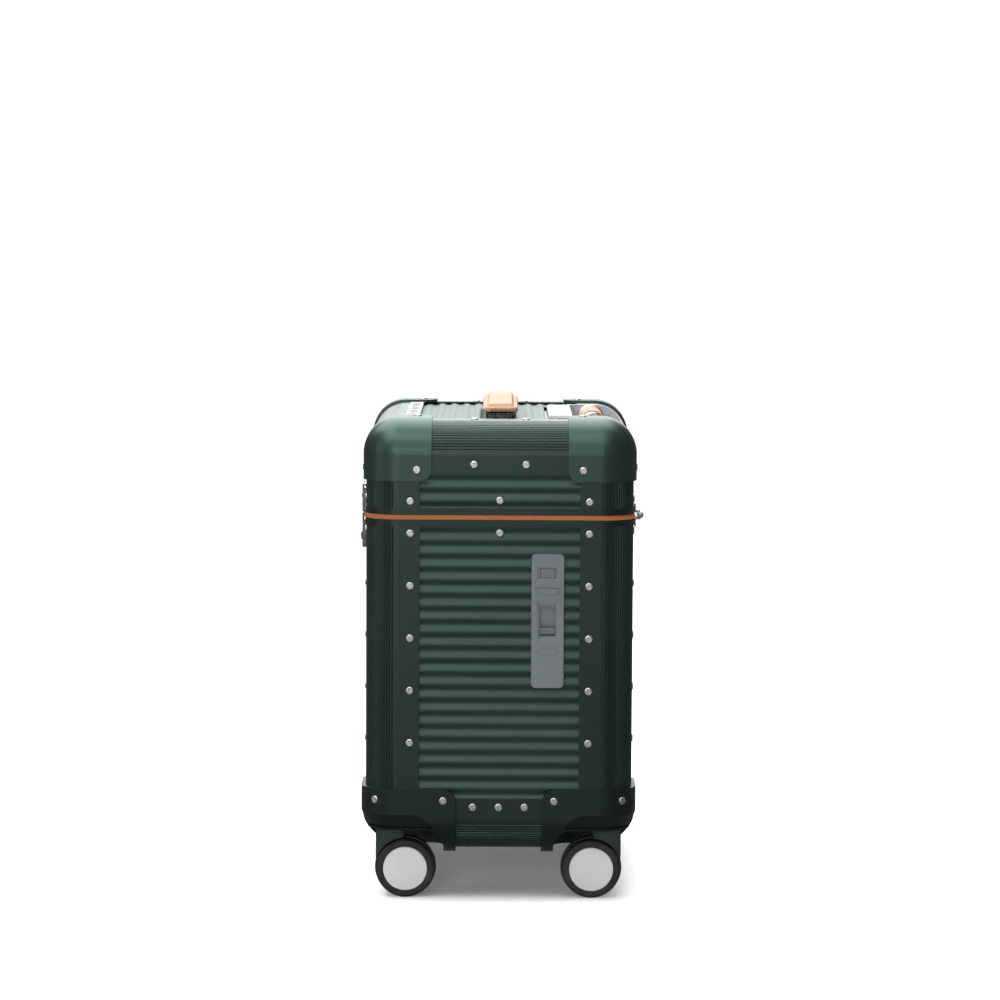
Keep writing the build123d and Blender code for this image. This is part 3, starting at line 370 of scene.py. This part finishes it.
def moulded(name, colour, roughness, grain_scale=1400.0, grain_depth=0.00004, shade=0.85):
    """Fine-grained moulded plastic with a faint colour drift and rubbed edges."""
    m = Material(name, Specular_IOR_Level=0.45)
    darker = tuple(c * shade for c in colour)
    paler = tuple(min(1.0, c * 1.12 + 0.01) for c in colour)
    tone = m.mix(m.span(m.noise(14.0, 4.0), 0.0, 1.0), darker, colour)
    edge = m.math("MULTIPLY", m.edge_mask(0.0006), m.span(m.noise(90.0, 4.0), 0.1, 0.7))
    tone = m.mix(edge, tone, paler)
    m.soften(0.0004)
    m.bump(m.voronoi(grain_scale), grain_depth, 0.5)
    return m.finish(tone, m.span(m.noise(220.0, 3.0), roughness - 0.06, roughness + 0.06))


def bright_metal(name, colour, roughness, spots=0.25):
    """Nickel or chrome with fine scratches and a little tarnish."""
    m = Material(name, metallic=1.0)
    tarnish = m.span(m.noise(420.0, 5.0), 0.0, spots, 0.45, 0.75)
    dull = tuple(c * 0.55 for c in colour)
    tone = m.mix(tarnish, colour, dull)
    m.soften(0.0002)
    m.bump(m.noise(1.0, 2.0, m.stretched((400, 400, 3200))), 0.00002, 0.4)
    return m.finish(tone, m.span(m.noise(300.0, 4.0), roughness - 0.05, roughness + 0.07))


def rivet_metal(name):
    """Nickel-plated steel, with painted shade in the slots and round the head's edge."""
    m = Material(name, metallic=1.0)
    tone = m.mix(m.span(m.noise(420.0, 5.0), 0.0, 0.4, 0.45, 0.75), (0.97, 0.97, 0.95), (0.62, 0.62, 0.60))
    # painted shade: the edge mask darkens the slot edges and the head's rim nearly to black
    tone = m.mix(m.edge_mask(0.0007), tone, (0.03, 0.032, 0.03))
    m.bump(m.noise(900.0, 3.0), 0.00005, 0.5)
    return m.finish(tone, m.span(m.noise(300.0, 4.0), 0.34, 0.5))


def grip_moulding(name, leather_half, grey, silver):
    """Grey moulding whose two end caps, past the leather, are silvery metal."""
    m = Material(name, Specular_IOR_Level=0.5)
    split = m.tree.nodes.new("ShaderNodeSeparateXYZ")
    m.link(m.coords, split.inputs[0])
    past = m.math("GREATER_THAN", m.math("ABSOLUTE", split.outputs["Y"], 0.0), leather_half)
    grain = m.noise(1.0, 2.0, m.stretched((2400, 60, 2400)))
    tone = m.mix(past, grey, silver)
    tone = m.mix(m.edge_mask(0.0005), tone, tuple(c * 0.55 for c in silver))
    m.link(past, m.shader.inputs["Metallic"])
    m.bump(grain, 0.00002, 0.4)
    return m.finish(tone, m.span(grain, 0.24, 0.36))


def leather(name, colour, roughness=0.5, grain=1100.0):
    """Smooth vegetable-tanned leather: pebbled pores, mottling and darker creases."""
    m = Material(name, Coat_Weight=0.08, Coat_Roughness=0.35, Specular_IOR_Level=0.4)
    deep = tuple(c * s for c, s in zip(colour, (0.72, 0.6, 0.5)))
    pale = tuple(min(1.0, c * 1.12) for c in colour)
    mottle = m.noise(60.0, 5.0, roughness=0.6)
    tone = m.mix(m.span(mottle, 0.0, 1.0), colour, pale)
    pores = m.voronoi(grain, "DISTANCE_TO_EDGE")
    tone = m.mix(m.span(pores, 0.35, 0.0, 0.0, 0.12), tone, deep)
    edge = m.edge_mask(0.0008)
    tone = m.mix(m.math("MULTIPLY", edge, 0.6), tone, deep)
    m.soften(0.0005)
    m.bump(m.span(pores, 0.0, 1.0, 0.0, 0.2), 0.00006, 0.5)
    m.bump(m.noise(160.0, 4.0), 0.0001, 0.4)
    return m.finish(tone, m.span(mottle, roughness - 0.07, roughness + 0.08))


def woven(name, colour):
    """Tight woven lining cloth."""
    m = Material(name, Sheen_Weight=0.25, Sheen_Roughness=0.5, Specular_IOR_Level=0.2)
    warp = m.wave(300.0, "DIAGONAL")
    weft = m.wave(300.0, "DIAGONAL", m.stretched((1, -1, 1)))
    weave = m.math("MULTIPLY", warp, weft)
    slub = m.noise(35.0, 5.0)
    darker = tuple(c * 0.6 for c in colour)
    tone = m.mix(m.span(weave, 0.0, 1.0, 0.0, 1.0), darker, colour)
    tone = m.mix(m.span(slub, 0.0, 0.35), tone, tuple(c * 1.5 for c in colour))
    m.bump(weave, 0.00015, 0.6)
    return m.finish(tone, m.span(slub, 0.75, 0.92))


def waxed_thread(name):
    """Pale waxed linen thread."""
    m = Material(name, Specular_IOR_Level=0.4)
    m.bump(m.noise(1500.0, 2.0), 0.00005, 0.5)
    twist = m.span(m.noise(800.0, 2.0), 0.0, 1.0)
    tone = m.mix(twist, (0.80, 0.60, 0.44), (0.88, 0.72, 0.58))
    return m.finish(tone, m.span(twist, 0.45, 0.6))


def tyre_rubber(name):
    """Black rubber with road dust."""
    m = Material(name, Specular_IOR_Level=0.4)
    dust = m.span(m.noise(70.0, 6.0), 0.0, 0.5, 0.45, 0.75)
    tone = m.mix(dust, (0.018, 0.018, 0.018), (0.055, 0.053, 0.05))
    m.soften(0.0005)
    m.bump(m.noise(900.0, 3.0), 0.00005, 0.6)
    return m.finish(tone, m.span(m.noise(120.0, 4.0), 0.42, 0.6))


def paint(node, material):
    """Gives a CAD node one material."""
    data = NODES[node].data
    data.materials.clear()
    data.materials.append(material)
    data.polygons.foreach_set("material_index", [0] * len(data.polygons))


def paint_cad_nodes():
    ribbed = anodised("ribbed_sheet", (0.048, 0.098, 0.078), (0.057, 0.113, 0.090), 0.54, 0.45)
    profile = anodised("edge_profile", (0.026, 0.052, 0.043), (0.033, 0.063, 0.051), 0.44)
    cap = anodised("corner_cap", (0.048, 0.094, 0.076), (0.056, 0.108, 0.086), 0.46, 0.4)
    rim = anodised("rim_frame", (0.024, 0.044, 0.039), (0.030, 0.054, 0.047), 0.42)
    bracket = anodised("caster_bracket", (0.019, 0.036, 0.034), (0.024, 0.043, 0.040), 0.46)
    fork = moulded("fork_moulding", (0.018, 0.038, 0.032), 0.42)
    rivets = rivet_metal("rivet_nickel")
    hinges = bright_metal("hinge_nickel", (0.56, 0.56, 0.55), 0.30)
    chrome = bright_metal("latch_chrome", (0.72, 0.72, 0.73), 0.14, 0.12)
    housing = moulded("trolley_housing", (0.60, 0.61, 0.63), 0.42)
    grip = grip_moulding("grip_ends", limits("grip_leather")[1].y, (0.10, 0.10, 0.105), (0.72, 0.73, 0.75))
    dark = moulded("inner_moulding", (0.04, 0.04, 0.042), 0.5)
    plate = moulded("control_plate", (0.145, 0.165, 0.172), 0.40)
    button = moulded("button_moulding", (0.13, 0.148, 0.158), 0.36)
    tube = bright_metal("tube_aluminium", (0.62, 0.63, 0.65), 0.30, 0.08)
    dark_metal = bright_metal("handle_metal", (0.09, 0.095, 0.09), 0.26, 0.1)
    badge = bright_metal("badge_metal", (0.80, 0.80, 0.79), 0.28, 0.08)
    ink = moulded("badge_ink", (0.03, 0.032, 0.032), 0.4)
    hub = moulded("hub_cap", (0.58, 0.59, 0.60), 0.36, shade=0.95)
    tyre = tyre_rubber("tyre_rubber")
    tan = leather("tan_leather", (0.62, 0.34, 0.18))
    cloth = woven("lining_backing", (0.11, 0.11, 0.115))
    by_start = {
        "front_panel": ribbed, "rear_panel": ribbed, "left_panel": ribbed, "right_panel": ribbed,
        "bottom_panel": ribbed, "lid_front_panel": ribbed, "lid_rear_panel": ribbed,
        "lid_left_panel": ribbed, "lid_right_panels": ribbed, "lid_top_panel": ribbed,
        "corner_posts": profile, "lid_posts": profile, "bottom_edge_profiles": profile,
        "top_edge_profiles": profile, "corner_caps": cap, "body_rim": rim, "lid_rim": rim,
        "caster_brackets": bracket, "caster_fork": fork, "body_rivets": rivets, "lid_rivets": rivets,
        "hinge": hinges, "latch": chrome, "trolley_tower": housing, "trolley_grip": grip,
        "trolley_base": dark, "trolley_outer": tube, "trolley_stage": tube, "control_plate": plate,
        "push_button": button, "slide_catch": button, "release_button": button,
        "handle_brackets": dark_metal, "handle_posts": tube, "badge_plate": badge, "badge_bars": ink,
        "caster_hubs": hub, "caster_tyres": tyre, "handle_leather": tan, "grip_leather": tan,
        "seam_strip": tan, "body_lining": cloth, "lid_lining": cloth,
    }
    for node in NODES:
        starts = [s for s in by_start if node.startswith(s)]
        paint(node, by_start[max(starts, key=len)])


# ---- carry handle -----------------------------------------------------------
STRAP_T = 4.4 * MM            # strap thickness at its ends
STRAP_RISE = 6.4 * MM         # how far the strap arches up in the middle
PAD_HALF_W = 14.2 * MM
PAD_RISE = 3.3 * MM
PAD_END = 11.0 * MM           # from the strap's end to the pad's
STITCH_IN = 2.2 * MM          # from the strap's edge to the stitch line
END_ROUND = 7.0 * MM


def smooth(value):
    value = max(0.0, min(1.0, value))
    return value * value * (3 - 2 * value)


def crowded(t, share):
    """Position from -1 to 1 for t, of which that share crowds towards both ends."""
    return share * math.sin(t * math.pi / 2) + (1 - share) * t


def strap_arch(y, half_y):
    """Height of the arch at y: flat ends, raised middle."""
    return STRAP_RISE * smooth((half_y * 0.80 - abs(y)) / (half_y * 0.62))


def strap_half_width(y, half_y, half_w, inset=0.0):
    """Half width in plan, with rounded ends; inset shrinks the outline."""
    past = abs(y) - (half_y - END_ROUND)
    if past <= 0:
        return half_w - inset
    radius = max(END_ROUND - inset, 0.0005)
    reach = max(radius * radius - past * past, 0.0)
    return half_w - END_ROUND + math.sqrt(reach)


def strap_top(x, y, low, half_y):
    """Top surface of the strap with its raised pad and the sewn groove round it."""
    base = low + STRAP_T + strap_arch(y, half_y)
    to_side = PAD_HALF_W - abs(x)
    to_end = half_y - PAD_END - abs(y)
    inside = min(to_side, to_end)
    pad = PAD_RISE * smooth((inside + 0.2 * MM) / (2.6 * MM))
    crown = 0.7 * MM * (1 - (x / PAD_HALF_W) ** 2) if inside > 0 else 0.0
    groove = -0.45 * MM * math.exp(-((inside + 0.9 * MM) / (0.7 * MM)) ** 2)
    return base + pad + max(crown, 0.0) * smooth(inside / (4 * MM)) + groove


STRAP_STATIONS = 150          # along the strap
STRAP_ACROSS = 44
UNDERSIDE_RISE = 0.72         # of the arch, so that the middle is thicker than the ends
TOP_ROLL = 1.4 * MM           # width over which the top edge rolls off
UNDER_ROLL = 1.0 * MM


def strap_loop(y, low, half_y, half_w):
    """Points round the strap's section at y: over the top, then back underneath."""
    width = strap_half_width(y, half_y, half_w)
    under = low.z + strap_arch(y, half_y) * UNDERSIDE_RISE
    loop = []
    for j in range(STRAP_ACROSS + 1):
        x = width * crowded(2 * j / STRAP_ACROSS - 1, 0.4)
        flat = smooth((width - abs(x)) / TOP_ROLL + 0.15)
        top = strap_top(x, y, low.z, half_y)
        middle = (under + top) / 2
        loop.append((x, y, middle + (top - middle) * flat))
    for j in range(STRAP_ACROSS - 1, 0, -1):
        x = width * crowded(2 * j / STRAP_ACROSS - 1, 0.4)
        flat = smooth((width - abs(x)) / UNDER_ROLL + 0.1)
        loop.append((x, y, under + (1 - flat) * STRAP_T * 0.45))
    return loop


def make_handle(thread):
    """Leather strap with its raised pad, in place of the plain strap solid."""
    low, high = limits("handle_leather")
    bm = bmesh.new()
    rows = []
    for i in range(STRAP_STATIONS + 1):
        y = high.y * crowded(2 * i / STRAP_STATIONS - 1, 0.35)
        rows.append([bm.verts.new(point) for point in strap_loop(y, low, high.y, high.x)])
    bridge(bm, rows)
    bm.faces.new(rows[0])
    bm.faces.new(list(reversed(rows[-1])))
    tan = leather("handle_tan", (0.70, 0.43, 0.29), 0.50)
    # painted light: a lighter copy of the tan leather for the side faces, to lift the shade that falls on
    # them
    edge = leather("handle_side_painted_light", (0.74, 0.44, 0.27), 0.5)
    strap = link_mesh("carry_handle_strap", bm, [tan, edge])
    # faces that do not face up, off the pad, take the lighter painted-light copy
    for face in strap.data.polygons:
        faces_up = face.normal.z >= 0.35
        on_pad = face.center.z >= low.z + STRAP_T + STRAP_RISE
        face.material_index = 0 if faces_up or on_pad else 1
    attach(strap, "carry_handle")
    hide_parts("handle_leather")
    add_stitches(low, high.y, high.x, thread)


def add_capsule(bm, start, end, radius, sides=6):
    """Small rounded thread between two points."""
    axis = (end - start).normalized()
    length = (end - start).length
    turn = axis.to_track_quat("Z", "Y").to_matrix().to_4x4()
    rings = []
    for t, r in ((0.0, 0.35), (0.12, 0.85), (0.5, 1.0), (0.88, 0.85), (1.0, 0.35)):
        ring = []
        for k in range(sides):
            a = 2 * math.pi * k / sides
            local = Vector((radius * r * math.cos(a), radius * r * math.sin(a), t * length))
            ring.append(bm.verts.new(start + turn @ local))
        rings.append(ring)
    for a, b in zip(rings, rings[1:]):
        for k in range(sides):
            bm.faces.new((a[k], a[(k + 1) % sides], b[(k + 1) % sides], b[k]))
    bm.faces.new(list(reversed(rings[0])))
    bm.faces.new(rings[-1])


STITCH_PITCH = 4.2 * MM
STITCH_LENGTH = 2.9 * MM
THREAD_R = 0.42 * MM
THREAD_LIFT = 0.12 * MM
OUTLINE_STEPS = 400


def stitch_line(half_y, half_w):
    """Closed line round the strap in plan, a little in from its edge."""
    reach = half_y - STITCH_IN
    right = []
    for i in range(OUTLINE_STEPS + 1):
        y = -reach + 2 * reach * i / OUTLINE_STEPS
        right.append((strap_half_width(y, half_y, half_w, STITCH_IN), y))
    left = [(-x, y) for x, y in reversed(right)]
    return right + left + right[:1]


def add_stitches(low, half_y, half_w, thread):
    """Thread round the strap, one short raised stitch after another."""
    line = stitch_line(half_y, half_w)
    bm = bmesh.new()
    travelled = 0.0
    mark = 0.0
    start = None
    for (x0, y0), (x1, y1) in zip(line, line[1:]):
        step = math.hypot(x1 - x0, y1 - y0)
        while step > 0 and mark <= travelled + step:
            f = (mark - travelled) / step
            x = x0 + (x1 - x0) * f
            y = y0 + (y1 - y0) * f
            point = Vector((x, y, strap_top(x, y, low.z, half_y) + THREAD_LIFT))
            if start is None:
                start = point
                mark += STITCH_LENGTH
            else:
                add_capsule(bm, start, point, THREAD_R)
                start = None
                mark += STITCH_PITCH - STITCH_LENGTH
        travelled += step
    stitching = link_mesh("carry_handle_stitching", bm, [thread])
    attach(stitching, "carry_handle")


# ---- other leather and cloth ----------------------------------------------------
GRIP_LEATHER_T = 1.6 * MM
CASE_ROUND = 34.0 * MM
STRIP_OUT = 1.8 * MM          # how far the seam strip stands out of the case
STRIP_DEPTH = 5.8 * MM
WELT_BULGE = 1.2 * MM
WELT_WAVE = 0.12 * MM         # how unevenly the leather bulges
QUILT = 46.0 * MM             # pitch of the lining's diamonds
QUILT_RISE = 3.2 * MM
QUILT_GRID = 5.75 * MM
HEM = 9.0 * MM                # the padding thins out over this at its edges


SLEEVE_TURNS = 96             # points round the grip
SLEEVE_ROWS = 72              # along it
SEAM_DEPTH = 0.8 * MM         # of the sewn seam under the grip
SEAM_HALF = 1.1 * MM
END_ROLL = 0.9 * MM           # how far the leather rolls in at its two ends
CROSS_PITCH = 4.0 * MM
CROSS_REACH = 2.0 * MM        # of each stitch, to the side of the seam
SLEEVE_END = 3.0 * MM         # from the leather's end to the first stitch


def sleeve_radius(y, angle, radius, half_y):
    """Outside of the leather: rolled in at the ends, sunk at the seam, a little wavy."""
    rolled = END_ROLL * (1 - smooth((half_y - abs(y)) / (2 * END_ROLL)))
    off_seam = abs(math.remainder(angle + math.pi / 2, 2 * math.pi)) * radius
    seam = SEAM_DEPTH * math.exp(-(off_seam / SEAM_HALF) ** 2)
    waviness = 0.10 * MM * math.sin(y * 310 + math.cos(angle) * 3) * math.sin(y * 97 + angle)
    return radius - rolled - seam + waviness


def make_grip_sleeve(thread):
    """Leather wrapped round the grip, its long edges sewn together underneath."""
    low, high = limits("grip_leather")
    centre_x, centre_z = (low.x + high.x) / 2, (low.z + high.z) / 2
    radius = (high.x - low.x) / 2
    inside = radius - GRIP_LEATHER_T + 0.2 * MM
    stations = [high.y * crowded(2 * i / SLEEVE_ROWS - 1, 0.3) for i in range(SLEEVE_ROWS + 1)]
    bm = bmesh.new()
    rows = []
    for y, outer in [(y, True) for y in stations] + [(y, False) for y in reversed(stations)]:
        row = []
        for k in range(SLEEVE_TURNS):
            angle = 2 * math.pi * k / SLEEVE_TURNS
            r = sleeve_radius(y, angle, radius, high.y) if outer else inside
            x = centre_x + r * math.cos(angle)
            row.append(bm.verts.new((x, y, centre_z + r * math.sin(angle))))
        rows.append(row)
    bridge(bm, rows + rows[:1])
    sleeve = link_mesh("grip_sleeve", bm, [leather("grip_tan", (0.70, 0.36, 0.19), 0.46)])
    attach(sleeve, "trolley_upper")
    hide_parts("grip_leather")
    add_cross_stitches(centre_x, centre_z - radius, radius, high.y, thread)


def add_cross_stitches(centre_x, below, radius, half_y, thread):
    """Pairs of slanting stitches along the seam under the grip."""
    lift = radius - math.sqrt(radius ** 2 - CROSS_REACH ** 2)
    bm = bmesh.new()
    for i in range(int(2 * (half_y - SLEEVE_END) / CROSS_PITCH)):
        y = -half_y + SLEEVE_END + i * CROSS_PITCH
        for reach in (-CROSS_REACH, CROSS_REACH):
            start = Vector((centre_x, y + 1.2 * MM, below + 0.55 * MM))
            end = Vector((centre_x + reach, y, below + lift - 0.05 * MM))
            add_capsule(bm, start, end, 0.35 * MM)
    stitching = link_mesh("grip_sleeve_stitching", bm, [thread])
    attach(stitching, "trolley_upper")


def case_outline(outset, step):
    """Points round the case's rounded rectangle, moved out by outset."""
    high = limits("seam_strip")[1]
    half_x, half_y = high.x - STRIP_OUT, high.y - STRIP_OUT
    radius = CASE_ROUND + outset
    points = []
    for sx, sy, first in ((1, 1, 0), (-1, 1, 90), (-1, -1, 180), (1, -1, 270)):
        cx, cy = sx * (half_x - CASE_ROUND), sy * (half_y - CASE_ROUND)
        for i in range(11):
            a = math.radians(first + 9 * i)
            points.append(Vector((cx + radius * math.cos(a), cy + radius * math.sin(a), 0)))
    filled = []
    for a, b in zip(points, points[1:] + points[:1]):
        parts = max(1, round((b - a).length / step))
        filled += [a.lerp(b, i / parts) for i in range(parts)]
    return filled


def make_seam_welt():
    """Leather strip laid all the way round between the two rim frames, bulging a little."""
    low, high = limits("seam_strip")
    middle = (low.z + high.z) / 2
    half = (high.z - low.z) / 2
    section = [(-STRIP_DEPTH, -half), (-WELT_BULGE, -half)]
    section += [(WELT_BULGE * (math.sin(math.radians(a)) - 1), -half * math.cos(math.radians(a)))
                for a in range(15, 180, 15)]
    section += [(-WELT_BULGE, half), (-STRIP_DEPTH, half)]
    bm = bmesh.new()
    loops = []
    for outward, up in section:
        row = []
        for i, point in enumerate(case_outline(STRIP_OUT + outward, 6 * MM)):
            wave = math.sin(i * 0.9) * math.sin(i * 0.23)
            pinch = WELT_WAVE * wave if outward > -0.92 * WELT_BULGE else 0.0
            away = Vector((point.x, point.y, 0)).normalized()
            row.append(bm.verts.new(point - away * abs(pinch) + Vector((0, 0, middle + up))))
        loops.append(row)
    loops.append(loops[0])
    bridge(bm, loops)
    welt = link_mesh("seam_welt", bm, [leather("seam_leather", (0.31, 0.102, 0.024), 0.56)])
    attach(welt, "case_body")
    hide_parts("seam_strip")


def quilting(u, v):
    """Height of the diamond quilting, 0 on the sewn lines and 1 between them."""
    across = abs(math.sin(math.pi * (u + v) / QUILT))
    along = abs(math.sin(math.pi * (u - v) / QUILT))
    return (across * along) ** 0.55


def make_quilted_lining(node, body, name, centre, material):
    """Padded lining on the shape of its plain solid, puffed between sewn diamonds."""
    bm = bmesh.new()
    bm.from_mesh(NODES[node].data)
    bm.transform(NODES[node].matrix_world)
    low, high = limits(node)
    bmesh.ops.remove_doubles(bm, verts=bm.verts, dist=0.00002)
    for axis in range(3):
        normal = [0.0, 0.0, 0.0]
        normal[axis] = 1.0
        for i in range(1, int((high[axis] - low[axis]) / QUILT_GRID) + 1):
            at = [0.0, 0.0, 0.0]
            at[axis] = low[axis] + i * QUILT_GRID
            everything = list(bm.verts) + list(bm.edges) + list(bm.faces)
            bmesh.ops.bisect_plane(bm, geom=everything, plane_co=at, plane_no=normal, dist=0.0001)
    bmesh.ops.recalc_face_normals(bm, faces=bm.faces)
    bm.normal_update()
    moves = []
    for vert in bm.verts:
        n = vert.normal
        inward = (centre - vert.co).normalized().dot(n)
        if inward <= 0.05:
            continue
        p = vert.co
        puff = n.x ** 2 * quilting(p.y, p.z) + n.y ** 2 * quilting(p.x, p.z)
        puff += n.z ** 2 * quilting(p.x, p.y)
        to_hem = min(abs(p.z - low.z), abs(p.z - high.z)) if abs(n.z) < 0.5 else QUILT
        puff *= smooth(inward / 0.3) * smooth(to_hem / HEM)
        moves.append((vert, n * (QUILT_RISE * puff)))
    for vert, move in moves:
        vert.co += move
    lining = link_mesh(name, bm, [material])
    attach(lining, body)
    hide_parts(node)


def make_linings():
    cloth = woven("lining_cloth", (0.115, 0.115, 0.12))
    body_low, body_high = limits("body_lining")
    middle = (body_low + body_high) / 2
    make_quilted_lining("body_lining", "case_body", "body_quilting",
                        Vector((middle.x, middle.y, body_high.z)), cloth)
    lid_low = limits("lid_lining")[0]
    make_quilted_lining("lid_lining", "lid", "lid_quilting",
                        Vector((-0.03, 0, lid_low.z)), cloth)


make_camera()
make_light()
make_stage()
paint_cad_nodes()
thread = waxed_thread("waxed_thread")
make_handle(thread)
make_grip_sleeve(thread)
make_seam_welt()
make_linings()
